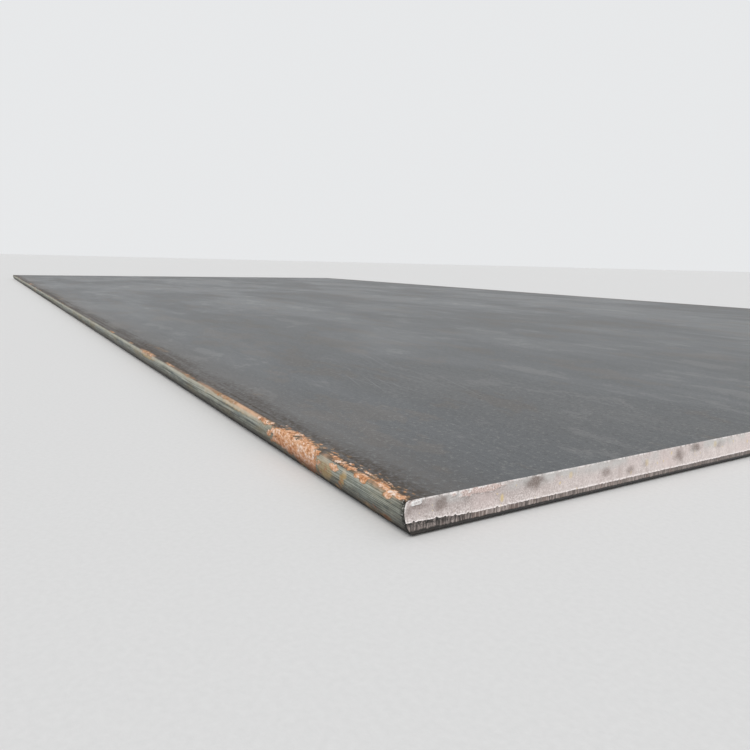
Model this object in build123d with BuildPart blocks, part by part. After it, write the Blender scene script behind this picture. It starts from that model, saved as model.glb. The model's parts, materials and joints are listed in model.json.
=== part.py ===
"""Hot-rolled steel plate with two rolled edges and two sheared ends.

The plate lies flat. X runs along its length, Y across its width and Z up through its thickness, and the origin
is the middle of its underside. Lengths are millimetres.
"""

from build123d import *
import os

# Stock size
length = 2000.0
width = 1000.0
thickness = 10.0

# Rolled edges along the length: a lopsided bulge whose crest lies above the middle of the thickness
crest_drop = 3.4
top_edge_inset = 0.6
bottom_edge_inset = 3.0
top_shoulder_radius = 0.5
bottom_shoulder_radius = 1.2

# Sheared ends, from the underside up: rollover, burnished land, torn face and burr
rollover_length = 2.0
rollover_height = 1.4
land_height = 1.7
tear_setback = 0.7
burr_height = 0.2
burr_base = 0.5

# The bulge meets its own crest with an upright tangent, so the two arcs of an edge join smoothly
crest_height = thickness - crest_drop
half_width = width / 2
half_length = length / 2

# A sheared end steps back from the land's plane to the line where the tear leaves the top face
tear_start_height = rollover_height + land_height
tear_line = half_length - tear_setback

# The burr stands on the flat of the top face, between the two rounded shoulders
burr_run = width - 2 * (top_edge_inset + top_shoulder_radius)

with BuildPart() as steel_plate:

    # Rolled section, looking along the length, drawn as its right half and mirrored
    with BuildSketch(Plane.YZ.offset(-half_length)) as rolled_section:
        with BuildLine():
            underside = Line((0, 0), (half_width - bottom_edge_inset, 0))
            crest = (half_width, crest_height)
            TangentArc(crest, underside @ 1, tangent=(0, -1))
            upper_bulge = TangentArc(crest, (half_width - top_edge_inset, thickness), tangent=(0, 1))
            Polyline(upper_bulge @ 1, (0, thickness), (0, 0))
        make_face()
        fillet(vertices().group_by(Axis.Y)[-1].sort_by(Axis.X)[-1], top_shoulder_radius)
        fillet(vertices().group_by(Axis.Y)[0].sort_by(Axis.X)[-1], bottom_shoulder_radius)
        mirror(about=Plane.YZ)
    extrude(amount=length)

    # Side view between the blades, which trims the rolled section to length
    with BuildSketch(Plane.XZ) as sheared_outline:
        with BuildLine():
            underside = Line((0, 0), (half_length - rollover_length, 0))
            rollover = EllipticalCenterArc(
                (half_length - rollover_length, rollover_height),
                rollover_length,
                rollover_height,
                start_angle=270,
                arc_size=90,
            )
            land = Line(rollover @ 1, (half_length, tear_start_height))
            tear = TangentArc((tear_line, thickness), land @ 1, tangent=(0, -1))
            Polyline((tear_line, thickness), (0, thickness), (0, 0))
        make_face()
        mirror(about=Plane.YZ)
    extrude(amount=width, both=True, mode=Mode.INTERSECT)

    # Burr: a hooked lip that the tear leaves along the top of each end
    with BuildSketch(Plane.XZ) as burr_section:
        with BuildLine():
            Line((tear_line - burr_base, thickness), (tear_line, thickness))
            Line((tear_line, thickness), (tear_line, thickness + burr_height))
            TangentArc((tear_line - burr_base, thickness), (tear_line, thickness + burr_height), tangent=(1, 0))
        make_face()
        mirror(about=Plane.YZ)
    extrude(amount=burr_run / 2, both=True)

steel_plate.part.label = "steel_plate"

os.makedirs("parts", exist_ok=True)
export_step(steel_plate.part, "parts/steel_plate.step")
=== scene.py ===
"""Finish of a hot-rolled steel plate: torn and burnished ends, rolled edges, mill scale and rust.

The frame is the model's: X along the length, Y across the width, Z up, origin in the underside's middle.
Places on the plate are in millimetres. They start at the corner nearest the camera, at +X and -Y, and run
along the sheared end (+Y) or along the rolled edge (-X). Colours are linear.
"""

import json
import math
from collections import namedtuple
from functools import partial, reduce

import bpy
import numpy as np
from mathutils import Matrix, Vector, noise
from mathutils.geometry import delaunay_2d_cdt


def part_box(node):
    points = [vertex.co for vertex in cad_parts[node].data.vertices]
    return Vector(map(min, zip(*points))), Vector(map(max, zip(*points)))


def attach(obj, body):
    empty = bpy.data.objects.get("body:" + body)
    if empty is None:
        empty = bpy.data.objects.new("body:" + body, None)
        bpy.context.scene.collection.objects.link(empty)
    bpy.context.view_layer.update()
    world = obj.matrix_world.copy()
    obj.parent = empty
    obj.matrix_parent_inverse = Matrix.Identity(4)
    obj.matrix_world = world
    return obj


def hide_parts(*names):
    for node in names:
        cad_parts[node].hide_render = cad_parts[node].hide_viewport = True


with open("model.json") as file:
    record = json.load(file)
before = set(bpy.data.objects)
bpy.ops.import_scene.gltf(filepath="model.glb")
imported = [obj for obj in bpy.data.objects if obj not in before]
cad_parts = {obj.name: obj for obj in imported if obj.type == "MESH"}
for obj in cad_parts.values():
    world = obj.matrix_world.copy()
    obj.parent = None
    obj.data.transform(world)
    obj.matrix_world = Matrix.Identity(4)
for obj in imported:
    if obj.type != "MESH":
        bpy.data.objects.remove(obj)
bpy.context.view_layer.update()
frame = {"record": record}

MM = 0.001

# Size of the plate, from the frame
low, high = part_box("steel_plate")
LENGTH = (high.x - low.x) / MM
WIDTH = (high.y - low.y) / MM
THICKNESS = next(m["pos_m"][2] for m in frame["record"]["mounts"] if m["name"] == "top_face") / MM

# Rolled edge: a lopsided bulge with a crest and two rounded shoulders
CREST_DROP = 3.4
CREST = THICKNESS - CREST_DROP
TOP_INSET = 0.6
BOTTOM_INSET = 3.0
TOP_SHOULDER = 0.5
BOTTOM_SHOULDER = 1.2

# Sheared end, from the underside up: rollover, burnished land, ledge, torn face, burr
ROLLOVER_LENGTH = 2.0
ROLLOVER_HEIGHT = 1.4
LAND_TOP = 3.1
CORNER_RAISE = 0.9
CORNER_RAISE_REACH = 16.0
SLOW_RAISE = 0.35
SLOW_RAISE_REACH = 45.0
LEDGE_DEPTH = 0.07
LEDGE_RISE = 0.03
TEAR_SETBACK = 0.7
BURR_HEIGHT = 0.2
BURR_BASE = 0.5
BURR_LEAN = 0.05

# Rows of vertices up a side: each stretch's first and last, and those of the tear that coarse columns keep
TEAR_ROWS = 22
STRETCHES = {"rollover": (0, 6), "land": (1, 6), "tear": (0, TEAR_ROWS), "shoulder": (1, 4), "burr": (0, 1)}
COARSE_TEAR_ROWS = (5, 11, 17)

# Spacing of columns round the plate, which grows away from the camera's corner
FINEST = 0.2
FINE_REACH = 6.0
END_FINE_REACH = 175.0
EDGE_FINE_REACH = 420.0
END_SPACING = (0.3, 0.0022)
EDGE_SPACING = (0.32, 0.0066)
COARSE_SPACING = 7.0
COARSE_GROWTH = 1.08

# Triangles of the flat faces: the first cells, when one is split or kept, and the top's finer strip
CELL = 31.25
SMALLEST_CELL = 0.7
SPLIT_RATIO = 1.35
KEPT_CLEAR = 0.35
GROWTH_PAST_FINE = 0.08
TOP_FINE_REACH = 9.0
TOP_FINEST = 0.55

# How far from a corner relief fades in, and columns bend to meet the next side's section
END_CALM = 1.5
EDGE_CALM = 2.5
CORNER_BLEND = 9.0

# Angle in degrees past which the mesh is shaded as sharp
SHARP_ANGLE = 32.0

# Rust on the rolled edge: distance from the corner, height up the edge and on over the top, half length,
# half height, strength
RUST_PATCHES = (
    (4.2, 10.1, 2.4, 0.6, 0.75),
    (10.5, 10.55, 11.5, 0.75, 1.0),
    (9.2, 9.0, 2.1, 1.0, 0.95),
    (11.0, 2.1, 3.2, 1.2, 0.6),
    (24.0, 10.2, 4.4, 1.6, 1.0),
    (30.8, 10.6, 3.8, 1.2, 0.9),
    (34.2, 6.1, 1.3, 2.3, 0.42),
    (36.0, 3.8, 1.6, 1.2, 0.56),
    (39.4, 2.2, 2.6, 1.0, 0.44),
    (39.8, 8.0, 2.9, 1.4, 0.95),
    (46.5, 5.8, 4.5, 3.6, 0.3),
    (20.0, 12.6, 12.0, 0.9, 0.55),
    (44.0, 11.5, 8.0, 1.0, 0.6),
    (61.5, 6.4, 11.0, 6.6, 0.9),
    (78.0, 7.6, 13.5, 5.3, 0.95),
    (72.0, 12.7, 16.0, 1.6, 0.6),
    (98.0, 10.1, 8.5, 1.5, 0.75),
    (147.0, 10.0, 19.0, 1.1, 0.5),
    (205.0, 10.2, 14.0, 1.2, 0.4),
    (298.0, 9.7, 22.0, 2.0, 0.55),
)

# Pale ochre haze round the rust, in the same terms
HAZE_PATCHES = (
    (12.0, 10.1, 11.0, 1.3, 0.55),
    (24.5, 10.1, 4.6, 1.6, 0.75),
    (33.0, 7.7, 1.6, 2.0, 0.7),
    (34.6, 5.6, 1.5, 2.0, 0.9),
    (46.5, 6.8, 5.5, 4.8, 0.5),
    (126.0, 9.9, 34.0, 2.3, 1.0),
    (162.0, 9.8, 26.0, 1.9, 0.52),
    (225.0, 9.8, 34.0, 1.9, 0.2),
    (297.0, 9.2, 24.0, 2.8, 0.75),
)

# Dark blotches and ochre spots on the torn face, in the same terms
BLOTCHES = (
    (5.5, 9.8, 6.0, 0.9, 0.4),
    (5.0, 8.0, 4.6, 0.75, 0.7),
    (1.0, 7.4, 1.4, 1.7, 0.5),
    (11.8, 7.9, 3.3, 2.5, 1.0),
    (20.3, 7.5, 1.9, 1.5, 0.5),
    (28.2, 7.9, 1.6, 0.9, 0.35),
    (46.3, 8.3, 4.7, 3.3, 1.15),
    (77.4, 6.5, 2.5, 1.8, 0.75),
    (89.6, 5.3, 3.0, 1.6, 0.75),
    (96.5, 6.2, 1.5, 1.2, 0.4),
    (115.2, 6.8, 3.6, 3.2, 1.0),
    (124.6, 8.8, 4.4, 2.6, 1.0),
    (139.0, 7.5, 2.8, 1.7, 0.55),
)
OCHRE_SPOTS = (
    (33.3, 5.5, 0.8, 1.2, 0.9),
    (61.3, 7.9, 0.9, 1.3, 0.6),
    (97.6, 6.7, 0.8, 1.4, 0.5),
    (136.5, 8.3, 1.0, 1.2, 0.5),
)

# Black stains on the burnished land, in the same terms
LAND_STAINS = (
    (2.6, 3.9, 0.6, 0.6, 0.6),
    (5.4, 3.6, 0.7, 1.0, 0.5),
    (11.4, 3.5, 2.3, 1.6, 1.0),
    (16.4, 3.3, 0.7, 0.9, 0.7),
    (20.7, 3.2, 1.0, 0.7, 0.7),
)

# A pale flake and a smear of metal on the torn face, in the same terms without the strength
FLAKE = (3.5, 9.3, 2.1, 0.8)
SMEAR = (25.5, 9.35, 12.5, 1.35)

# Places where the land's ragged top juts up into the torn face
NOTCHES = (2.4, 9.9, 12.9, 16.2, 20.7, 31.4)
NOTCH_RISE = 0.45
NOTCH_WIDTH = 0.33

# Relief: how far the flake and the smear stand proud, how deep the nicks and the pinch beside the ends are
FLAKE_RISE = 0.32
FLAKE_TILT = 0.06
SMEAR_RISE = 0.15
NICK_DEPTH = 0.45
NICK_REACH = 0.9
PINCH_DEPTH = 0.32
LOWEST_BURR = 0.03

# Layers of noise: strength, size of the bumps along the side and across it, seed, which picks its slice
SLICE_START = 0.37
SLICE_STEP = 17.31
LAND_RAGGED = ((0.12, 3.3, 3.3, 1), (0.24, 0.9, 0.9, 2))
PATCH_RAGGED = ((0.5, 3.4, 1.9, 3), (0.35, 1.3, 0.9, 4))
FLAKE_RAGGED = ((0.22, 0.8, 0.8, 24),)
SMEAR_RAGGED = ((0.75, 2.3, 0.8, 25),)
SMEAR_RIPPLES = ((1.0, 1.1, 0.7, 27),)
SPOT_RAGGED = ((0.35, 1.8, 1.8, 26),)
TEAR_WAVES = ((0.05, 7.0, 4.0, 21), (0.035, 2.2, 1.6, 22), (0.025, 0.8, 0.8, 23))
LAND_STRIAE = ((0.025, 0.45, 0.45, 31), (0.02, 1.3, 1.3, 32))
BURR_RAGGED = ((0.5, 1.4, 1.4, 33), (0.7, 0.5, 0.5, 34))
NICKS = ((1.0, 0.9, 0.9, 35), (0.5, 3.1, 3.1, 36))
ROLLING_LINES = ((0.012, 30.0, 0.9, 41), (0.012, 14.0, 0.5, 42), (0.05, 22.0, 6.0, 44))
LONG_WAVES = ((0.22, 190.0, 190.0, 43),)
EDGE_CRUST = ((0.14, 1.1, 1.1, 45), (0.1, 0.5, 0.5, 46))
TOP_SCALE = ((0.02, 2.6, 2.6, 51), (0.02, 1.3, 1.3, 52))
TOP_CRUST = ((0.12, 1.3, 1.3, 53),)

# Rust by chance on the rolled edges, by climb: a line on their shoulder, and patches that fade past it
SHOULDER_RUST = 0.6
SHOULDER_CLIMB = 10.4
SHOULDER_SPREAD = 1.1
SPARSE_RUST = 0.5
SPARSE_FADE = (12.0, 55.0)

# Flecks of rust on the margin of the top face, near the camera's corner
FLECK_RUST = 0.66
FLECK_START = (10.3, 10.9)
FLECK_FADE = (12.0, 19.0)
FLECK_REACH = (60.0, 130.0)

# Noises of the materials: size of the bumps, stretch along X and upward, detail, roughness, distortion
NOISES = {
    "broad": (150, 2.6, 1, 6, 0.6, 0.3),
    "streaks": (3, 60, 1, 5, 0.65),
    "islands": (34, 2.2, 1, 9, 0.7, 0.25),
    "pepper": (1.6, 1, 1, 4, 0.7),
    "fine": (0.5, 1, 1, 3, 0.65),
    "handled": (110, 2),
    "dents": (17, 1.6),
    "swells": (240, 1, 1, 1),
    "lines": (0.36, 90, 1, 1),
    "bands": (1.7, 60, 1, 3, 0.6),
    "mottle": (3.2, 1.8, 0.8, 5, 0.7),
    "tarnish": (19, 2, 0.6, 4, 0.6),
    "drawn": (0.42, 1, 14),
    "ragged": (2.3, 1, 1, 5, 0.7, 0.4),
    "grit": (0.45, 1, 1, 3, 0.7),
    "scabs": (3, 1.3, 1, 4, 0.6),
    "drift": (6, 2, 1, 3, 0.6),
    "crystals": (0.45, 1, 1, 4, 0.72),
    "soft": (4.5, 1, 1, 3, 0.55, 0.5),
    "cloud": (17, 1, 1, 3),
    "specks": (1.5, 1, 1, 1),
    "wisps": (2.6, 1, 3.5, 3, 0.55),
    "broken_rim": (1.1, 1, 1, 3, 0.7),
    "torn_top": (2.7, 1, 1, 3),
    "striae": (0.4, 1, 12, 3, 0.65),
    "wide": (2.6, 1, 3, 3),
    "broken": (0.7, 1, 1, 3, 0.7),
    "floor_grit": (1.5, 1, 1, 3),
}

# Distances in the materials: axis, and half the plate's size along it where they run in from its ends
DISTANCES = {"upward": ("Z", 0.0), "from_end": ("X", LENGTH / 2), "from_edge": ("Y", WIDTH / 2)}

# Camera, from the corner on the floor, in millimetres and degrees
CAMERA_OFFSET = (130.8, -90.2, 70.6)
CAMERA_HEADING = 148.56
CAMERA_PITCH = -9.83
CAMERA_ROLL = 1.4
CAMERA_LENS = 31.25

# Light: a lamp, with angles in degrees, the sky that lights the plate and the backdrop that the camera sees
LAMP_STRENGTH = 2.1
LAMP_SPREAD = 36.0
LAMP_TILT = 48.0
LAMP_HEADING = 62.0
LAMP_COLOUR = (1.0, 0.97, 0.94)
SKY_STRENGTH = 0.5
SKY_COLOUR = (0.93, 0.96, 1.0, 1.0)
BACKDROP_COLOUR = (0.8, 0.81, 0.82, 1.0)

# Floor, in metres
FLOOR_REACH = 60.0
FLOOR_GAP = 0.0002


def perlin(x, y, size_x, size_y, seed):
    """Perlin noise over two coordinates, about -1 to 1, with bumps of the given sizes."""
    x, y = np.broadcast_arrays(x, y)
    flat = zip((x / size_x).ravel(), (y / size_y).ravel())
    return np.array([noise.noise((u, v, SLICE_STEP * seed + SLICE_START)) for u, v in flat]).reshape(x.shape)


def layered(x, y, layers):
    """Sum of layers of Perlin noise."""
    return sum(strength * perlin(x, y, size_x, size_y, seed) for strength, size_x, size_y, seed in layers)


def smooth_step(value, start, end):
    """0 before start, 1 after end, and smooth between."""
    t = np.clip((value - start) / (end - start), 0.0, 1.0)
    return t * t * (3.0 - 2.0 * t)


def half_bulge(rise, height, inset, shoulder):
    """Inset from the crest line at a rise from the crest, on an arc that ends in a rounded shoulder."""
    radius = (inset**2 + height**2) / (2.0 * inset)
    centre_rise = height - shoulder
    centre_inset = radius - math.sqrt((radius - shoulder) ** 2 - centre_rise**2)
    on_arc = radius - np.sqrt(np.maximum(radius**2 - rise**2, 0.0))
    on_shoulder = centre_inset - np.sqrt(np.maximum(shoulder**2 - (rise - centre_rise) ** 2, 0.0))
    return np.where(rise < centre_rise * radius / (radius - shoulder), on_arc, on_shoulder)


def rolled_inset(z):
    """Inset of the rolled edge at height z."""
    z = np.minimum(z, THICKNESS)
    upper = half_bulge(np.maximum(z - CREST, 0.0), CREST_DROP, TOP_INSET, TOP_SHOULDER)
    lower = half_bulge(np.maximum(CREST - z, 0.0), CREST, BOTTOM_INSET, BOTTOM_SHOULDER)
    return np.where(z > CREST, upper, lower)


def sheared_inset(z, land_top):
    """Inset of the sheared end at height z, where the land ends at land_top."""
    sink = np.clip(1.0 - z / ROLLOVER_HEIGHT, 0.0, 1.0)
    rollover = ROLLOVER_LENGTH * (1.0 - np.sqrt(1.0 - sink**2))
    climb = np.clip((THICKNESS - z) / (THICKNESS - land_top), 0.0, 1.0)
    tear = TEAR_SETBACK * (1.0 - climb**2) + LEDGE_DEPTH * (z > land_top) * climb
    return rollover + tear


def land_top_at(along, length):
    """Ragged height where the burnished land gives way to the torn face."""
    from_corner = np.minimum(along, length - along)
    height = LAND_TOP + CORNER_RAISE * np.exp(-((from_corner / CORNER_RAISE_REACH) ** 3))
    height = height + SLOW_RAISE * np.exp(-from_corner / SLOW_RAISE_REACH)
    ragged = layered(along, 0.0, LAND_RAGGED)
    for place in NOTCHES:
        ragged = ragged + NOTCH_RISE * np.exp(-(((along - place) / NOTCH_WIDTH) ** 2))
    return height + ragged * smooth_step(from_corner, 0.0, END_CALM)


def stations(length, spacing, fine_reach):
    """Column places along a side from the camera's corner, and how many of them are fine."""
    fine = [*np.arange(0.0, FINE_REACH, FINEST), FINE_REACH]
    while fine[-1] < fine_reach:
        fine.append(fine[-1] + spacing[0] + spacing[1] * fine[-1])
    fine.pop()
    coarse = [fine[-1]]
    step = fine[-1] - fine[-2]
    while coarse[-1] + step < length:
        coarse.append(coarse[-1] + step)
        step = min(step * COARSE_GROWTH, COARSE_SPACING)
    coarse = np.array(coarse)
    coarse = coarse[0] + (coarse - coarse[0]) * (length - coarse[0]) / (coarse[-1] - coarse[0])
    return np.concatenate([fine, coarse[1:]]), len(fine)


# All rows, the burr's two, those without relief, and those of fine and of coarse columns
ROWS = [(stretch, k / last) for stretch, (first, last) in STRETCHES.items() for k in range(first, last + 1)]
STRETCH = np.array([stretch for stretch, share in ROWS])
SHARE = np.array([share for stretch, share in ROWS])
BURR_TIP = len(ROWS) - 2
BURR_FOOT = len(ROWS) - 1
PLAIN_ROWS = [0, BURR_TIP, BURR_FOOT]
FINE = list(range(len(ROWS)))
COARSE = [
    row
    for row, (stretch, share) in enumerate(ROWS)
    if share in (0.0, 1.0)
    or (stretch in ("rollover", "shoulder") and share == 0.5)
    or (stretch == "tear" and round(share * TEAR_ROWS) in COARSE_TEAR_ROWS)
]


def row_heights(land_top, ledge_rise):
    """Height of each row, for each column: columns by rows."""
    tear_start = land_top + ledge_rise
    shoulder_start = THICKNESS - TOP_SHOULDER
    quarter = 0.5 * math.pi * SHARE
    heights = {
        "rollover": ROLLOVER_HEIGHT * (1.0 - np.cos(quarter)),
        "land": ROLLOVER_HEIGHT + (land_top - ROLLOVER_HEIGHT) * SHARE,
        "tear": tear_start + (shoulder_start - tear_start) * SHARE,
        "shoulder": shoulder_start + TOP_SHOULDER * np.sin(quarter),
    }
    return np.select([STRETCH == stretch for stretch in heights], list(heights.values()), THICKNESS)


def sheared_columns(along, length):
    """Insets and heights of a sheared end's vertices, without relief."""
    land_top = land_top_at(along, length)
    heights = row_heights(land_top, LEDGE_RISE)
    insets = sheared_inset(heights, land_top)
    insets[:, BURR_TIP] = TEAR_SETBACK + BURR_LEAN
    insets[:, BURR_FOOT] = TEAR_SETBACK + BURR_BASE
    return insets, heights


def rolled_columns(along, length):
    """Insets and heights of a rolled edge's vertices, without relief."""
    from_corner = np.minimum(along, length - along)
    corner_land_top = LAND_TOP + CORNER_RAISE + SLOW_RAISE
    even_rise = (THICKNESS - TOP_SHOULDER - corner_land_top) / TEAR_ROWS
    ledge_rise = LEDGE_RISE + even_rise * smooth_step(from_corner, 0.0, CORNER_BLEND)
    heights = row_heights(corner_land_top, ledge_rise)
    insets = rolled_inset(heights)
    insets[:, BURR_TIP] += 0.5 * BURR_BASE
    insets[:, BURR_FOOT] += BURR_BASE
    return insets, heights


def ellipse(along, height, centre_along, centre_height, half_length, half_height):
    """1 in the middle of an ellipse, 0 on its outline, and below 0 outside."""
    return 1.0 - np.hypot((along - centre_along) / half_length, (height - centre_height) / half_height)


def spots_share(along, z, spots, end, start=-0.15, layers=SPOT_RAGGED):
    """How strong the spots of a list are, from start to end inside their ragged outlines."""
    ragged = layered(along, z, layers)
    insides = [(ellipse(along, z, *place) + ragged, strength) for *place, strength in spots]
    return np.max([strength * smooth_step(inside, start, end) for inside, strength in insides], axis=0)


def rust_on_edge(along, climb, seed):
    """Share of rust where climb is the height up a rolled edge, which runs on over the top face."""
    shoulder = np.exp(-(((climb - SHOULDER_CLIMB) / SHOULDER_SPREAD) ** 2))
    patchy = smooth_step(perlin(along, climb, 26.0, 9.0, 5 + seed), -0.1, 0.45)
    sparse = smooth_step(perlin(along, climb, 110.0, 12.0, 9 + seed), 0.05, 0.5)
    inner = 1.0 - smooth_step(climb, *SPARSE_FADE)
    rust = np.maximum(SHOULDER_RUST * shoulder * patchy, SPARSE_RUST * sparse * patchy * inner)
    if seed != NEAR_SEED:
        return rust
    flecks = smooth_step(perlin(along, climb, 2.4, 1.0, 47), 0.06, 0.38) * smooth_step(climb, *FLECK_START)
    flecks = FLECK_RUST * flecks * (1.0 - smooth_step(climb, *FLECK_FADE))
    flecks = flecks * (1.0 - smooth_step(along, *FLECK_REACH))
    patches = spots_share(along, climb, RUST_PATCHES, 0.5, -0.4, PATCH_RAGGED)
    return np.maximum(rust, np.maximum(patches, flecks))


def flake_inside(along, z):
    """1 in the middle of the pale flake, 0 on its outline, and below 0 outside."""
    centre_along, centre_z, half_length, half_height = FLAKE
    tilted_z = z - centre_z - FLAKE_TILT * (along - centre_along)
    rounded_box = (((along - centre_along) / half_length) ** 4 + (tilted_z / half_height) ** 4) ** 0.25
    return 1.0 - rounded_box + layered(along, z, FLAKE_RAGGED)


def flake_share(along, z):
    """1 on the pale flake, 0 off it."""
    return smooth_step(flake_inside(along, z), 0.05, 0.25)


def smear_share(along, z):
    """1 on the smeared metal, 0 off it."""
    return smooth_step(ellipse(along, z, *SMEAR) + layered(along, z, SMEAR_RAGGED), 0.12, 0.34)


def flake_and_highlight_share(along, z):
    """Pale bare metal of the flake, fuller round its rim than in its middle as a painted highlight, and a
    painted highlight along the smear's outline.
    """
    middle = smooth_step(flake_inside(along, z), 0.35, 0.6)
    smear = smear_share(along, z)
    return np.maximum(flake_share(along, z) * (1.0 - 0.5 * middle), 2.6 * smear * (1.0 - smear))


def blotch_and_shadow_share(along, z):
    """How dark the torn face is, from its blotchy patches and the painted shadow in the crevices under the
    flake and the smear and in the nicks.
    """
    # Painted shadow just under the flake and the smear, and in the nicks torn from the top
    under_flake = flake_share(along, z + 0.35) - flake_share(along, z)
    under_smear = smear_share(along, z + 0.3) - smear_share(along, z)
    crevice_shadow = np.clip(np.maximum(1.4 * under_flake, 0.8 * under_smear), 0.0, 1.0)
    crevice_shadow = np.maximum(crevice_shadow, np.clip(1.8 * nick_share(along, z), 0.0, 1.0))
    return np.maximum(spots_share(along, z, BLOTCHES, 0.75), crevice_shadow)


def nick_share(along, z):
    """Where the burr has torn bits out of the top of the torn face."""
    return np.clip(layered(along, 0.0, NICKS), 0.0, 1.0) * smooth_step(z, THICKNESS - NICK_REACH, THICKNESS)


def tear_relief(along, z):
    """How far the torn face stands proud: its waves, grain, flake and smear."""
    smeared = smear_share(along, z) * (1.0 + layered(along, z, SMEAR_RIPPLES))
    return layered(along, z, TEAR_WAVES) + FLAKE_RISE * flake_share(along, z) + SMEAR_RISE * smeared


def sheared_relief(along, z, from_corner):
    """Outward relief of a sheared end, and the burr's ragged height."""
    on_tear = smooth_step(z, LAND_TOP, LAND_TOP + 0.8)
    on_land = (z >= ROLLOVER_HEIGHT) & (z < LAND_TOP)
    torn = tear_relief(along, z) - NICK_DEPTH * nick_share(along, z)
    relief = on_tear * torn + on_land * layered(along, 0.0, LAND_STRIAE)
    burr = BURR_HEIGHT * np.clip(0.5 + layered(along, 0.0, BURR_RAGGED), 0.1, 1.2)
    settle = smooth_step(from_corner, 0.0, END_CALM)
    return relief * settle, np.where(from_corner > 0.0, LOWEST_BURR, 0.0) + burr * settle


def rolled_relief(along, z, from_corner, rust):
    """Outward relief of a rolled edge: rolling lines, slow waves, pinch at the sheared ends and rust."""
    pinch = PINCH_DEPTH * np.exp(-from_corner / 0.7) * (1.0 - np.exp(-from_corner / 0.12))
    crust = rust * (0.06 + layered(along, z, EDGE_CRUST))
    relief = layered(along, z, ROLLING_LINES) + layered(along, 0.0, LONG_WAVES) + crust
    return relief * smooth_step(from_corner, 0.0, EDGE_CALM) - pinch


def top_relief(x, y, rust):
    """Height of the scale and rust on the top face, where its mesh is fine enough to hold them."""
    from_side = np.minimum(LENGTH / 2 - x, y + WIDTH / 2)
    within = smooth_step(from_side, 1.6, 3.0) * (1.0 - smooth_step(from_side, 8.0, 13.0))
    return within * (layered(x, y, TOP_SCALE) + rust * (0.07 + layered(x, y, TOP_CRUST)))


MASKS = ("rust", "haze", "edge", "nip", "rise", "drop", "blotch", "ochre", "flake", "smear")
FACE_SLOT, TEAR_SLOT, LAND_SLOT = range(3)

# Seed of the two sides at the camera's corner, whose rust and marks are listed one by one
NEAR_SEED = 0


class Shell:
    """Vertices, masks, faces and flat map of the plate's mesh."""

    def __init__(self):
        self.points = []
        self.masks = {name: [] for name in MASKS}
        self.faces = []
        self.slots = []
        self.spots = []

    def add_points(self, points, **masks):
        """Adds vertices and returns their numbers."""
        first = len(self.points)
        self.points.extend(points)
        for name, values in self.masks.items():
            values.extend(np.broadcast_to(masks.get(name, 0.0), len(points)))
        return list(range(first, first + len(points)))

    def add_face(self, corners, slot, spots):
        """Adds a face with its corners' places on the flat map."""
        self.faces.append(corners)
        self.slots.append(slot)
        self.spots.extend(spots)


# Flat map: each side's strip of the square, and how fast detail thins out away from the corner
SIDE_STRIPS = {
    "near_end": (0.155, 0.235),
    "near_edge": (0.08, 0.145),
    "far_end": (0.045, 0.07),
    "far_edge": (0.008, 0.036),
}
SIDE_THINNING = 60.0
FACE_THINNING = 300.0


def thinned(distance, length, thinning):
    """Place from 0 to 1 on the flat map, with more room near the corner."""
    return np.log1p(distance / thinning) / math.log1p(length / thinning)


def on_strip(share, strip):
    """Place up a strip of the flat map."""
    return strip[0] + (strip[1] - strip[0]) * share


def row_places():
    """Place of each row across a side's strip, half by count and half by its height on a plain profile."""
    insets, heights = sheared_columns(np.full((1, 1), WIDTH / 2), WIDTH)
    steps = np.hypot(np.diff(insets[0]), np.diff(heights[0]))
    travelled = np.concatenate([[0.0], np.cumsum(steps)])
    return 0.5 * travelled / travelled[-1] + 0.5 * np.arange(len(ROWS)) / BURR_FOOT


class Side:
    """One of the plate's four sides, as columns of vertices."""

    def __init__(self, name, corner, along, inward, length, seed):
        self.strip = SIDE_STRIPS[name]
        self.corner, self.along, self.inward = (np.array([*pair, 0.0]) for pair in (corner, along, inward))
        self.length = length
        self.seed = seed
        self.near = seed == NEAR_SEED
        self.row_places = row_places()

    def lay(self, shell, places, fine_count=0):
        """Adds the side's columns to the shell and keeps them as (row numbers, vertex numbers)."""
        along = places[:, None]
        insets, heights, relief, burr, masks = self.profile(along, np.minimum(along, self.length - along))
        relief[:, PLAIN_ROWS] = 0.0
        heights[:, [BURR_TIP]] += burr
        near = np.clip(1.0 - along / CORNER_BLEND, 0.0, 1.0)
        far = np.clip(1.0 - (self.length - along) / CORNER_BLEND, 0.0, 1.0)
        run = along + self.neighbour(np.zeros((1, 1)), self.length)[0] * (near - far)
        points = self.corner + run[..., None] * self.along + (insets - relief)[..., None] * self.inward
        points[..., 2] += heights
        self.places = places
        self.columns = [None] * len(places)
        for column in range(self.borrowed, len(places) - self.borrowed):
            rows = FINE if column < fine_count else COARSE
            column_masks = {name: values[column][rows] for name, values in masks.items()}
            self.columns[column] = (rows, shell.add_points(points[column][rows], **column_masks))

    def spot(self, place, row):
        """Place on the flat map."""
        return thinned(place, self.length, SIDE_THINNING), on_strip(self.row_places[row], self.strip)

    def join(self, shell, first, second, *places):
        """Fills the strip between two neighbouring columns, which may differ in their rows."""
        at = (dict(zip(*first)), dict(zip(*second)))
        shared = [row for row in first[0] if row in at[1]]
        for low, high in zip(shared, shared[1:]):
            left, right = ([row for row in range(low, high + 1) if row in rows] for rows in at)
            if len(left) > 2:
                faces = [((0, bottom), (1, low), (0, top)) for bottom, top in zip(left, left[1:])]
                faces.append(((0, high), (1, low), (1, high)))
            elif len(right) > 2:
                faces = [((0, low), (1, bottom), (1, top)) for bottom, top in zip(right, right[1:])]
                faces.append(((0, low), (1, high), (0, high)))
            else:
                faces = [((0, low), (1, low), (1, high), (0, high))]
            for corners in faces:
                numbers = tuple(at[column][row] for column, row in corners)
                spots = [self.spot(places[column], row) for column, row in corners]
                shell.add_face(numbers, self.slot_above(low), spots)


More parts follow.
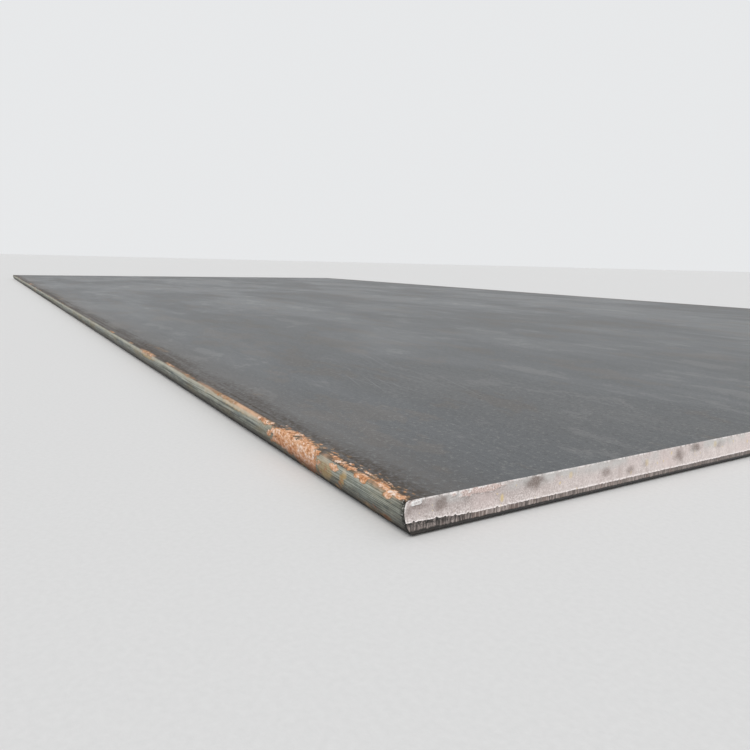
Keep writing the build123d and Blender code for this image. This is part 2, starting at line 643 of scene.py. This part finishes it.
class ShearedEnd(Side):
    """An end as the shears leave it. It lays the columns at its corners."""

    neighbour = staticmethod(rolled_columns)
    borrowed = 0

    def profile(self, along, from_corner):
        """Insets and heights of the end, its relief, the burr's height and the masks."""
        insets, heights = sheared_columns(along, self.length)
        land_top = land_top_at(along, self.length)
        relief, burr = sheared_relief(along, heights, from_corner)
        masks = {
            "nip": np.exp(-((from_corner / 0.45) ** 2)) + np.zeros(heights.shape),
            "rise": np.clip((heights - land_top) / (THICKNESS - land_top), 0.0, 1.0),
            "drop": np.clip((land_top - heights) / (land_top - ROLLOVER_HEIGHT), 0.0, 1.0),
        }
        if self.near:
            # Dark marks: the torn face's blotchy patches with painted shadow under the flake, the smear and
            # the nicks, and the land's own stains
            blotches_and_shadow = blotch_and_shadow_share(along, heights)
            stains = spots_share(along, heights, LAND_STAINS, 0.6)
            masks["blotch"] = np.where(heights > land_top, blotches_and_shadow, stains)
            masks["ochre"] = spots_share(along, heights, OCHRE_SPOTS, 0.4)
            # The pale flake, with painted highlights round its rim and along the smear's outline
            masks["flake"] = flake_and_highlight_share(along, heights)
            masks["smear"] = smear_share(along, heights)
        return insets, heights, relief * self.near, burr, masks

    def slot_above(self, row):
        """Material slot of the faces above a row."""
        return {"rollover": FACE_SLOT, "land": LAND_SLOT}.get(STRETCH[row + 1], TEAR_SLOT)


class RolledEdge(Side):
    """An edge as rolling leaves it. It borrows a corner column from each sheared end."""

    neighbour = staticmethod(sheared_columns)
    borrowed = 1

    def profile(self, along, from_corner):
        """Insets and heights of the edge, its relief, no burr, and the masks."""
        insets, heights = rolled_columns(along, self.length)
        climb = heights + np.maximum(insets - rolled_inset(THICKNESS), 0.0) * (STRETCH == "burr")
        rust = rust_on_edge(along, climb, self.seed)
        masks = {
            "rust": rust,
            "edge": 1.0 - smooth_step(heights, THICKNESS - 0.7, THICKNESS - 0.02),
            "nip": np.exp(-((from_corner / 2.2) ** 4)) + np.zeros(heights.shape),
        }
        if self.near:
            masks["haze"] = spots_share(along, climb, HAZE_PATCHES, 0.5)
        return insets, heights, rolled_relief(along, heights, from_corner, rust), 0.0, masks

    def slot_above(self, row):
        """Material slot of the faces above a row."""
        return FACE_SLOT


def lay_sides(shell):
    """Adds all four sides, and returns their columns in order, counter-clockwise from above."""
    x, y = LENGTH / 2, WIDTH / 2
    near_end = ShearedEnd("near_end", (x, -y), (0, 1), (-1, 0), WIDTH, NEAR_SEED)
    near_edge = RolledEdge("near_edge", (x, -y), (-1, 0), (0, 1), LENGTH, NEAR_SEED)
    far_end = ShearedEnd("far_end", (-x, -y), (0, 1), (1, 0), WIDTH, 1)
    far_edge = RolledEdge("far_edge", (x, y), (-1, 0), (0, -1), LENGTH, 2)
    near_end.lay(shell, *stations(WIDTH, END_SPACING, END_FINE_REACH))
    near_edge.lay(shell, *stations(LENGTH, EDGE_SPACING, EDGE_FINE_REACH))
    for side in (far_end, far_edge):
        side.lay(shell, np.linspace(0.0, side.length, round(side.length / COARSE_SPACING)))
    for side, corner in ((near_edge, 0), (far_edge, -1)):
        side.columns[0] = near_end.columns[corner]
        side.columns[-1] = far_end.columns[corner]

    ring = []
    for side, step in ((near_end, 1), (far_edge, 1), (far_end, -1), (near_edge, -1)):
        columns, places = side.columns[::step], side.places[::step]
        for neighbours in zip(columns, columns[1:], places, places[1:]):
            side.join(shell, *neighbours)
        ring.extend(columns[:-1])
    return ring


# A flat face: its row in a column, strip of the flat map, growth of its triangles inward, and bare margin
FlatFace = namedtuple("FlatFace", "row strip growth margin")
TOP = FlatFace(BURR_FOOT, (0.445, 0.995), 0.3, 2.2)
UNDERSIDE = FlatFace(0, (0.245, 0.435), 0.6, 4.6)


def side_size(along, spacing, fine_reach):
    """Triangle size wanted beside one of the near sides, from its columns' spacing."""
    size = max(FINEST, spacing[0] + spacing[1] * along)
    if along > fine_reach:
        size = min(COARSE_SPACING, size + GROWTH_PAST_FINE * (along - fine_reach))
    return size


def wanted_size(x, y, face):
    """Triangle size wanted at a place on a flat face, from its distance to the plate's sides."""
    from_end, from_edge = LENGTH / 2 - x, y + WIDTH / 2
    from_far_side = min(LENGTH / 2 + x, WIDTH / 2 - y)
    end_size = side_size(from_edge, END_SPACING, END_FINE_REACH)
    edge_size = side_size(from_end, EDGE_SPACING, EDGE_FINE_REACH)
    if face is TOP:
        from_end = max(0.0, from_end - TOP_FINE_REACH)
        from_edge = max(0.0, from_edge - TOP_FINE_REACH)
        end_size = max(end_size, TOP_FINEST)
        edge_size = max(edge_size, TOP_FINEST)
    return min(
        end_size + face.growth * from_end,
        edge_size + face.growth * from_edge,
        COARSE_SPACING + face.growth * from_far_side,
    )


def graded_points(face):
    """Points inside the plate's outline, close together near the camera's corner."""
    waiting = [
        (-LENGTH / 2 + (i + 0.5) * CELL, -WIDTH / 2 + (j + 0.5) * CELL, CELL)
        for i in range(round(LENGTH / CELL))
        for j in range(round(WIDTH / CELL))
    ]
    points = []
    while waiting:
        x, y, size = waiting.pop()
        to_side = min(LENGTH / 2 - abs(x), WIDTH / 2 - abs(y))
        at_side = to_side < face.margin + 0.5 * size and size > SMALLEST_CELL
        if at_side or size > SPLIT_RATIO * wanted_size(x, y, face):
            shifts = (-size / 4, size / 4)
            waiting.extend((x + dx, y + dy, size / 2) for dx in shifts for dy in shifts)
        elif to_side > face.margin + KEPT_CLEAR * size:
            points.append((x, y))
    return points


def fill_face(shell, ring, face):
    """Triangulates a flat face between the ring of columns, and returns the loop round it."""
    loop = [dict(zip(*column))[face.row] for column in ring]
    count = len(loop)
    flat = [tuple(shell.points[number][:2]) for number in loop] + graded_points(face)
    vertices, _, triangles, origins, _, _ = delaunay_2d_cdt(flat, [], [list(range(count))], 1, 1e-5)
    x, y = np.array([tuple(vertex) for vertex in vertices]).T
    heights, rust = np.zeros(len(x)), np.zeros(len(x))
    if face is TOP:
        climb = THICKNESS + np.maximum(y + WIDTH / 2 - rolled_inset(THICKNESS), 0.0)
        rust = rust_on_edge(LENGTH / 2 - x, climb, NEAR_SEED)
        heights = THICKNESS + top_relief(x, y, rust)
    numbers = [loop[origin[0]] if origin and origin[0] < count else None for origin in origins]
    fresh = [i for i, number in enumerate(numbers) if number is None]
    added = shell.add_points(np.column_stack([x, y, heights])[fresh], rust=rust[fresh])
    for i, number in zip(fresh, added):
        numbers[i] = number
    spots = np.column_stack([
        thinned(LENGTH / 2 - x, LENGTH, FACE_THINNING),
        on_strip(thinned(y + WIDTH / 2, WIDTH, FACE_THINNING), face.strip),
    ])
    for triangle in triangles:
        corners = triangle if face is TOP else triangle[::-1]
        shell.add_face(tuple(numbers[i] for i in corners), FACE_SLOT, [tuple(spots[i]) for i in corners])
    return loop


def plate_mesh():
    """The whole plate as one closed mesh."""
    shell = Shell()
    ring = lay_sides(shell)
    loops = [fill_face(shell, ring, face) for face in (TOP, UNDERSIDE)]
    mesh = bpy.data.meshes.new("plate")
    mesh.from_pydata((np.array(shell.points) * MM).tolist(), [], shell.faces)
    mesh.polygons.foreach_set("material_index", shell.slots)
    mesh.polygons.foreach_set("use_smooth", [True] * len(shell.faces))
    flat_map = mesh.uv_layers.new(name="OFBake")
    flat_map.uv.foreach_set("vector", np.array(shell.spots, np.float32).ravel())
    for name, values in shell.masks.items():
        mask = mesh.attributes.new(name, "FLOAT", "POINT")
        mask.data.foreach_set("value", np.array(values, np.float32))
    mesh.update()
    mesh.set_sharp_from_angle(angle=math.radians(SHARP_ANGLE))
    for loop in loops:
        mark_sharp(mesh, loop)
    return mesh


def mark_sharp(mesh, loop):
    """Keeps a flat face's shading from bending at its outline."""
    pairs = {tuple(sorted(pair)) for pair in zip(loop, loop[1:] + loop[:1])}
    sharp = mesh.attributes.get("sharp_edge") or mesh.attributes.new("sharp_edge", "BOOLEAN", "EDGE")
    for edge in mesh.edges:
        if tuple(sorted(edge.vertices)) in pairs:
            sharp.data[edge.index].value = True


class Look:
    """The node tree of a material or world in the making.

    An input is a plain value, another node's output, or the name of a noise, a distance or a mask.
    """

    def __init__(self, owner):
        self.owner = owner
        owner.use_nodes = True
        self.tree = owner.node_tree
        self.tree.nodes.clear()
        self.known = {}

    def node(self, kind, inputs, output=0, **settings):
        """Adds a node and returns one of its outputs."""
        node = self.tree.nodes.new(kind)
        for name, value in settings.items():
            setattr(node, name, value)
        for name, value in inputs.items():
            value = self.named(value) if isinstance(value, str) else value
            if isinstance(value, bpy.types.NodeSocket):
                self.tree.links.new(value, node.inputs[name])
            else:
                node.inputs[name].default_value = value
        return node.outputs[output] if node.outputs else None

    def named(self, name):
        """Output of a noise, of a distance in millimetres or of one of the mesh's masks, made once."""
        if name not in self.known:
            if name in NOISES:
                self.known[name] = self.grain(*NOISES[name])
            elif name in MASKS:
                self.known[name] = self.node("ShaderNodeAttribute", {}, "Fac", attribute_name=name)
            else:
                self.known[name] = self.distance(*DISTANCES[name])
        return self.known[name]

    def distance(self, axis, half):
        """Distance along an axis from the origin, or inward from half the plate's size."""
        place = self.node("ShaderNodeSeparateXYZ", {0: self.place()}, axis)
        return self.math("SUBTRACT", half, self.math("ABSOLUTE", place)) if half else place

    def place(self, size=1.0, along=1.0, up=1.0, turn=0.0):
        """Position in units of size millimetres, drawn out upward and along a turned X axis."""
        position = self.node("ShaderNodeTexCoord", {}, "Object")
        if turn:
            inputs = {"Vector": position, "Angle": math.radians(-turn)}
            position = self.node("ShaderNodeVectorRotate", inputs, rotation_type="Z_AXIS")
        scale = tuple(1.0 / (MM * size * part) for part in (along, 1.0, up))
        return self.node("ShaderNodeVectorMath", {0: position, 1: scale}, operation="MULTIPLY")

    def grain(self, size, along=1.0, up=1.0, detail=2.0, roughness=0.5, distortion=0.0, turn=0.0):
        """Noise from 0 to 1 with bumps of one size in millimetres, drawn out along X and upward."""
        inputs = {
            "Vector": self.place(size, along, up, turn),
            "Scale": 1.0,
            "Detail": detail,
            "Roughness": roughness,
            "Distortion": distortion,
        }
        return self.node("ShaderNodeTexNoise", inputs)

    def chips(self, size, along=1.0, sway=0.8):
        """Ragged chips of one size in millimetres: a random tone for each, and how far its middle is."""
        vector = self.place(size, along)
        ruffle = self.node("ShaderNodeTexNoise", {"Vector": vector, "Scale": 1.6, "Detail": 2.0}, "Color")
        ruffle = self.node("ShaderNodeVectorMath", {0: ruffle, 1: (sway,) * 3}, operation="MULTIPLY")
        vector = self.node("ShaderNodeVectorMath", {0: vector, 1: ruffle}, operation="ADD")
        tone = self.node("ShaderNodeTexVoronoi", {"Vector": vector, "Scale": 1.0}, "Color")
        return self.node("ShaderNodeSeparateColor", {0: tone}, "Red"), tone.node.outputs["Distance"]

    def strokes(self, width, length, turn):
        """Thin straight scratches at an angle: 1 on a scratch, 0 off it."""
        return self.fade(self.grain(width, length / width, detail=0.0, turn=turn), 0.72, 0.82)

    def math(self, operation, *values):
        """One step of arithmetic."""
        return self.node("ShaderNodeMath", dict(enumerate(values)), operation=operation)

    def times(self, *values):
        """Product of the values."""
        return reduce(partial(self.math, "MULTIPLY"), values)

    def most(self, *values):
        """Largest of the values."""
        return reduce(partial(self.math, "MAXIMUM"), values)

    def sum(self, base, *parts):
        """base and all parts together, each part given as (value, factor)."""
        for value, factor in parts:
            base = self.math("MULTIPLY_ADD", value, factor, base)
        return base

    def fade(self, value, start, end, low_value=0.0, high_value=1.0):
        """low_value before start, high_value after end, smooth between."""
        if start > end:
            start, end, low_value, high_value = end, start, high_value, low_value
        inputs = {0: value, 1: start, 2: end, 3: low_value, 4: high_value}
        return self.node("ShaderNodeMapRange", inputs, interpolation_type="SMOOTHSTEP")

    def mix(self, share, first, second):
        """second over first, by share."""
        inputs = {0: share, 6: self.solid(first), 7: self.solid(second)}
        return self.node("ShaderNodeMix", inputs, 2, data_type="RGBA")

    def cover(self, colour, *layers):
        """Lays colours over a colour. Before its colour, a layer has a mask or a value to fade.

        A value to fade comes with where it starts, where it is full and its share there.
        """
        for *where, over in layers:
            mask = where[0] if len(where) == 1 else self.fade(*where[:3], 0.0, where[3])
            colour = self.mix(mask, colour, over)
        return colour

    def solid(self, colour):
        """A colour as a node's input takes it."""
        return colour if isinstance(colour, bpy.types.NodeSocket) else (*colour, 1.0)

    def ramp(self, value, *stops):
        """Colour from a value, through stops of (value, colour)."""
        output = self.node("ShaderNodeValToRGB", {0: value})
        ramp = output.node.color_ramp
        while len(ramp.elements) < len(stops):
            ramp.elements.new(1.0)
        for element, (position, colour) in zip(ramp.elements, stops):
            element.position = position
            element.color = self.solid(colour)
        return output

    def finish(self, colour, roughness, height, specular=0.5, metallic=0.0):
        """Ends the material with a surface whose height is in millimetres."""
        normal = self.node("ShaderNodeBump", {"Height": height, "Distance": MM, "Strength": 1.0}, "Normal")
        surface = {
            "Base Color": colour,
            "Roughness": roughness,
            "Metallic": metallic,
            "Specular IOR Level": specular,
            "Normal": normal,
        }
        shader = self.node("ShaderNodeBsdfPrincipled", surface)
        self.node("ShaderNodeOutputMaterial", {"Surface": shader})
        return self.owner


def face_scale(look):
    """Bluish scale drawn out along the length, with islands, and where its scratches are and its dark margin
    of dirt and painted shade lies.
    """
    short_strokes = look.times(look.strokes(0.4, 30.0, 37.0), 0.6)
    scratches = look.most(look.strokes(0.45, 150.0, 2.0), look.strokes(0.5, 90.0, -16.0), short_strokes)
    scratches = look.times(scratches, look.fade("handled", 0.5, 0.64, 0.1, 0.8))
    brown = look.fade("from_edge", 45.0, 3.0, 0.0, 0.65)
    brown = look.times(brown, look.fade("pepper", 0.62, 0.4, 0.4, 1.0))
    # Dark margin along the rolled edges: partly dirt, partly painted shadow of a plate lying above
    margin = look.sum("from_edge", ("pepper", 13.0), ("islands", 34.0))
    grime_and_shade = look.times(
        look.fade(margin, 41.0, 23.0),
        look.fade("streaks", 0.56, 0.42, 0.4, 0.9),
        look.fade("pepper", 0.6, 0.44, 0.45, 1.0),
    )
    face = look.ramp(
        "broad", (0.34, (0.04, 0.047, 0.054)), (0.5, (0.062, 0.07, 0.077)), (0.66, (0.096, 0.101, 0.104))
    )
    face = look.cover(
        face,
        ("streaks", 0.48, 0.66, 0.3, (0.122, 0.127, 0.13)),
        ("streaks", 0.46, 0.3, 0.28, (0.034, 0.036, 0.038)),
        ("islands", 0.545, 0.565, 0.55, (0.104, 0.092, 0.081)),
        ("islands", 0.415, 0.395, 0.55, (0.14, 0.143, 0.144)),
        ("pepper", 0.54, 0.66, 0.7, (0.205, 0.203, 0.195)),
        ("pepper", 0.46, 0.34, 0.75, (0.016, 0.017, 0.018)),
        ("fine", 0.58, 0.7, 0.6, (0.3, 0.292, 0.278)),
        ("fine", 0.42, 0.3, 0.55, (0.016, 0.016, 0.016)),
        (scratches, (0.23, 0.235, 0.238)),
        (brown, (0.082, 0.066, 0.052)),
        (grime_and_shade, (0.05, 0.034, 0.023)),
    )
    return face, scratches, grime_and_shade


def rolled_scale(look):
    """Greyer scale with fine lines along the length, a pale upper shoulder of dust and painted light from
    above, dirt and painted shade below, and painted shade beside the sheared ends.
    """
    # Paler upper shoulder: partly dust, partly painted light falling from above
    dust_and_top_light = look.times(
        look.fade("upward", 7.0, 9.0),
        look.fade("from_end", 20.0, 170.0, 0.12, 0.68),
        look.fade("mottle", 0.3, 0.56, 0.6, 1.0),
    )
    # Darker toward the underside: partly dirt, partly painted shade
    above_dirt_and_shade = look.sum("upward", (look.fade("from_end", 50.0, 260.0), -1.1), ("mottle", 3.0))
    rolled = look.ramp(
        "mottle", (0.32, (0.12, 0.136, 0.117)), (0.5, (0.224, 0.239, 0.197)), (0.68, (0.348, 0.366, 0.312))
    )
    return look.cover(
        rolled,
        ("bands", 0.48, 0.34, 0.35, (0.11, 0.118, 0.112)),
        ("lines", 0.48, 0.37, 0.85, (0.034, 0.037, 0.034)),
        ("lines", 0.53, 0.63, 0.68, (0.49, 0.5, 0.44)),
        ("tarnish", 0.5, 0.64, 0.6, (0.25, 0.205, 0.11)),
        ("tarnish", 0.47, 0.35, 0.5, (0.115, 0.15, 0.165)),
        ("pepper", 0.58, 0.7, 0.45, (0.33, 0.215, 0.115)),
        ("from_end", 210.0, 290.0, 0.16, (0.085, 0.09, 0.084)),
        (dust_and_top_light, (0.52, 0.505, 0.415)),
        # Painted shade where the edge is drawn in beside the sheared ends
        ("from_end", 12.0, 2.0, 0.4, (0.06, 0.058, 0.05)),
        (above_dirt_and_shade, 8.8, 2.4, 0.9, (0.028, 0.023, 0.016)),
    )


def rusty(look, colour, roughness, height):
    """Lays flaking rust over a surface, with islands round it and an ochre stain beyond; its palest tones
    paint highlights on the flakes, and darker tones paint shade between them and toward the underside.
    """
    chips, gap = look.chips(0.8, 1.7, 1.0)
    reach = look.sum(-0.85, ("rust", 1.05), ("ragged", 1.5))
    crust = look.fade(look.sum(reach, ("grit", 0.8)), 0.74, 0.92)
    # Each chip's tone runs darker toward its border, as painted shade between the flakes; the ramp's palest
    # stop is a painted highlight
    tone = look.sum(0.01, ("grit", 0.46), (chips, 0.16), (gap, -0.25), ("scabs", 0.72))
    rust = look.ramp(
        tone,
        (0.26, (0.125, 0.045, 0.022)),
        (0.37, (0.4, 0.165, 0.066)),
        (0.49, (0.67, 0.335, 0.165)),
        (0.6, (0.81, 0.5, 0.32)),
        (0.74, (0.93, 0.785, 0.69)),
    )
    rust = look.cover(
        rust,
        (reach, 0.58, 0.4, 0.45, (0.26, 0.105, 0.045)),
        # Painted shade in the gaps between the flakes
        (gap, 0.55, 0.85, 0.3, (0.2, 0.075, 0.032)),
        # Painted shade: darker and redder toward the underside
        ("upward", 9.2, 4.5, 0.38, (0.3, 0.1, 0.038)),
        ("upward", 6.0, 1.6, 0.88, (0.085, 0.034, 0.015)),
    )
    stain = look.ramp(
        "drift", (0.35, (0.13, 0.09, 0.045)), (0.5, (0.27, 0.18, 0.08)), (0.65, (0.4, 0.22, 0.09))
    )
    colour = look.cover(colour, (look.sum("rust", ("drift", 0.7)), 0.48, 1.0, 0.8, stain))
    colour = look.mix(crust, colour, rust)
    roughness = look.most(roughness, look.times(crust, 0.82))
    return colour, roughness, look.sum(height, (look.sum(0.03, (tone, 0.16)), crust))


def scale_look():
    """Mill scale on the faces and the rolled edges, with haze, painted shade in a dark pinch at its borders
    with painted highlights in it, and rust.
    """
    look = Look(bpy.data.materials.new("mill_scale"))
    face, scratches, grime_and_shade = face_scale(look)
    haze = look.times("haze", look.fade("mottle", 0.3, 0.56, 0.7, 1.0))
    ochre = look.cover(
        (0.54, 0.355, 0.125),
        ("upward", 7.4, 8.6, 1.0, (0.58, 0.49, 0.365)),
        ("upward", 8.8, 10.0, 1.0, (0.69, 0.435, 0.275)),
    )

    # Painted shade: a dark pinch beside the sheared ends and along the underside, with painted highlights of
    # bare metal in it
    pinch = look.times("nip", look.fade("drawn", 0.42, 0.62, 1.0, 0.72))
    pinch = look.times(pinch, look.fade("pepper", 0.52, 0.62, 1.0, 0.3))
    pinch = look.most(pinch, look.fade("upward", 2.0, 0.9, 0.0, 0.85))
    painted_glints = look.times("nip", look.fade("fine", 0.57, 0.64, 0.0, 0.7), look.fade("upward", 2.5, 4.0))
    colour = look.cover(
        look.mix("edge", face, rolled_scale(look)),
        (haze, ochre),
        (pinch, (0.012, 0.011, 0.01)),
        (painted_glints, (0.62, 0.615, 0.58)),
    )

    sheen = look.fade("broad", 0.38, 0.64, 0.2, 0.33)
    roughness = look.sum(sheen, ("pepper", 0.22), ("islands", 0.14), (pinch, 0.4), (grime_and_shade, 0.45))
    waves = look.sum(0.0, ("fine", 0.03), ("pepper", 0.1), ("dents", 0.1), ("swells", 0.9))
    height = look.sum(waves, ("lines", look.times("edge", 0.1)), (scratches, -0.02))
    colour, roughness, height = rusty(look, colour, roughness, height)
    return look.finish(colour, roughness, height, specular=0.4)


def tear_look():
    """Torn steel: pale, matt and granular, with grey blotchy patches and painted shadow under the flake and
    the smear, a pale flake, a smear, painted shade in the middle of the concave face, and painted highlights
    along its edges.
    """
    look = Look(bpy.data.materials.new("torn_steel"))
    facets, _ = look.chips(0.6)
    away = look.fade("from_edge", 28.0, 70.0)
    # Painted shade in the middle of the concave torn face, near the corner
    hollow_shade = look.times(
        look.fade("rise", 0.1, 0.5),
        look.fade("rise", 0.97, 0.8),
        look.fade("from_edge", 62.0, 26.0, 0.0, 0.42),
    )
    cool = look.times(look.fade("rise", 0.4, 0.85), look.fade("cloud", 0.56, 0.44, 0.0, 0.75))
    smear = look.ramp(
        "crystals", (0.36, (0.38, 0.265, 0.235)), (0.5, (0.56, 0.43, 0.393)), (0.64, (0.83, 0.735, 0.695))
    )
    flake = look.ramp(
        "crystals", (0.36, (0.48, 0.48, 0.474)), (0.48, (0.79, 0.79, 0.78)), (0.6, (0.92, 0.925, 0.915))
    )
    # Painted highlights along the torn face's lower and top edges and at the corner
    top_rim_highlight = look.times(look.fade("rise", 0.93, 0.985), look.fade("torn_top", 0.42, 0.56, 0.1, 0.9))
    rim_highlights = look.most(look.fade("rise", 0.11, 0.0), top_rim_highlight, "nip")
    rim_highlights = look.times(rim_highlights, look.fade("broken_rim", 0.36, 0.56), 0.85)
    colour = look.ramp(
        "crystals", (0.33, (0.3, 0.255, 0.243)), (0.5, (0.575, 0.508, 0.488)), (0.67, (0.84, 0.795, 0.78))
    )
    colour = look.cover(
        colour,
        (look.times(away, 0.5), (0.578, 0.512, 0.492)),
        (look.times(away, look.fade("wisps", 0.52, 0.7, 0.0, 0.62)), (0.44, 0.375, 0.355)),
        (look.times(away, look.fade("wisps", 0.46, 0.28, 0.0, 0.42)), (0.72, 0.655, 0.635)),
        (hollow_shade, (0.33, 0.275, 0.262)),
        ("from_edge", 30.0, 4.0, 0.11, (0.2, 0.18, 0.172)),
        ("from_edge", 80.0, 150.0, 0.24, (0.88, 0.81, 0.78)),
        (cool, (0.52, 0.52, 0.508)),
        (facets, 0.35, 0.0, 0.22, (0.35, 0.31, 0.3)),
        ("cloud", 0.48, 0.7, 0.4, (0.66, 0.545, 0.525)),
        ("soft", 0.6, 0.72, 0.35, (0.36, 0.325, 0.305)),
        ("specks", 0.71, 0.77, 0.55, (0.7, 0.56, 0.26)),
        (look.times("ochre", 0.8), (0.64, 0.5, 0.23)),
        (look.times("blotch", look.fade("crystals", 0.3, 0.66, 1.0, 0.62)), (0.2, 0.16, 0.143)),
        (look.times("smear", 0.85), smear),
        ("flake", flake),
        (rim_highlights, (0.9, 0.86, 0.845)),
    )
    height = look.sum(look.times("crystals", look.fade("from_edge", 28.0, 70.0, 0.12, 0.07)), (facets, 0.05))
    return look.finish(colour, 0.66, height)


def land_look():
    """Burnished land: painted shade under the ledge, most near the corner, and along its bottom edge, greyer
    below, with upright striae drawn by the blade.
    """
    look = Look(bpy.data.materials.new("burnished_land"))
    # Painted shade under the ledge, most near the corner, and along the bottom edge above the rollover; the
    # stains are the land's own
    near_corner = look.fade("from_edge", 26.0, 9.0)
    under_ledge = look.times(look.fade("drop", 0.7, 0.05), look.sum(0.2, (near_corner, 0.7)))
    shade = look.times(look.sum(under_ledge, (near_corner, 0.38)), look.fade("broken", 0.34, 0.6, 1.25, 0.3))
    hem_shade = look.fade(look.sum("drop", ("broken", 0.55)), 0.98, 1.16)
    stains = look.times("blotch", look.fade("striae", 0.4, 0.62, 1.0, 0.55))
    colour = look.ramp(
        "striae", (0.36, (0.045, 0.038, 0.035)), (0.5, (0.232, 0.196, 0.181)), (0.64, (0.545, 0.475, 0.445))
    )
    colour = look.cover(
        colour,
        ("from_edge", 30.0, 75.0, 0.32, (0.255, 0.217, 0.201)),
        ("wide", 0.5, 0.66, 0.45, (0.175, 0.115, 0.095)),
        ("from_edge", 95.0, 130.0, 0.3, (0.06, 0.052, 0.048)),
        (look.math("MINIMUM", look.most(shade, hem_shade, stains), 1.0), (0.02, 0.018, 0.016)),
    )
    return look.finish(colour, 0.45, look.sum(0.0, ("striae", 0.07), ("broken", 0.04)), metallic=0.2)


def placed(name, data):
    """A new object in the scene."""
    thing = bpy.data.objects.new(name, data)
    bpy.context.scene.collection.objects.link(thing)
    return thing


def dress_plate():
    """The plate that shows, in place of the plain solid."""
    mesh = plate_mesh()
    for material in (scale_look(), tear_look(), land_look()):
        mesh.materials.append(material)
    plate = placed("plate", mesh)
    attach(plate, "root")
    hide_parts("steel_plate")


def pale_floor():
    """A plain pale floor, far wider than the plate."""
    mesh = bpy.data.meshes.new("floor")
    corners = [(x * FLOOR_REACH, y * FLOOR_REACH, 0.0) for x, y in ((-1, -1), (1, -1), (1, 1), (-1, 1))]
    mesh.from_pydata(corners, [], [(0, 1, 2, 3)])
    floor = placed("floor", mesh)
    floor.location.z = -FLOOR_GAP
    look = Look(bpy.data.materials.new("pale_floor"))
    colour = look.ramp("floor_grit", (0.3, (0.755, 0.755, 0.75)), (0.7, (0.785, 0.785, 0.78)))
    mesh.materials.append(look.finish(colour, 0.9, look.times("floor_grit", 0.05)))


def soft_light():
    """Even light from all round, with one broad lamp on the sheared end's side."""
    bpy.context.scene.world = bpy.data.worlds.new("studio")
    look = Look(bpy.context.scene.world)
    paths = look.node("ShaderNodeLightPath", {}).node.outputs
    seen = look.most(paths["Is Camera Ray"], paths["Is Glossy Ray"], paths["Is Transmission Ray"])
    sky = look.node("ShaderNodeBackground", {"Color": SKY_COLOUR, "Strength": SKY_STRENGTH})
    backdrop = look.node("ShaderNodeBackground", {"Color": BACKDROP_COLOUR, "Strength": 1.0})
    either = look.node("ShaderNodeMixShader", {0: seen, 1: sky, 2: backdrop})
    look.node("ShaderNodeOutputWorld", {"Surface": either})

    lamp = bpy.data.lights.new("broad_lamp", "SUN")
    lamp.energy = LAMP_STRENGTH
    lamp.angle = math.radians(LAMP_SPREAD)
    lamp.color = LAMP_COLOUR
    holder = placed("broad_lamp", lamp)
    holder.rotation_euler = (math.radians(LAMP_TILT), 0.0, math.radians(LAMP_HEADING))


def aim_camera():
    """The camera, close to the corner and low, as in the photograph."""
    lens = bpy.data.cameras.new("camera")
    lens.lens = CAMERA_LENS
    lens.clip_start = 0.01
    lens.clip_end = 200.0
    camera = placed("camera", lens)
    corner = (LENGTH / 2, -WIDTH / 2, 0.0)
    camera.location = tuple((c + o) * MM for c, o in zip(corner, CAMERA_OFFSET))
    turn = Matrix.Rotation(math.radians(CAMERA_HEADING - 90.0), 3, "Z")
    tilt = Matrix.Rotation(math.radians(90.0 + CAMERA_PITCH), 3, "X")
    roll = Matrix.Rotation(math.radians(CAMERA_ROLL), 3, "Z")
    camera.rotation_euler = (turn @ tilt @ roll).to_euler()
    bpy.context.scene.camera = camera


bpy.context.scene.view_settings.view_transform = "Standard"
dress_plate()
pale_floor()
soft_light()
aim_camera()
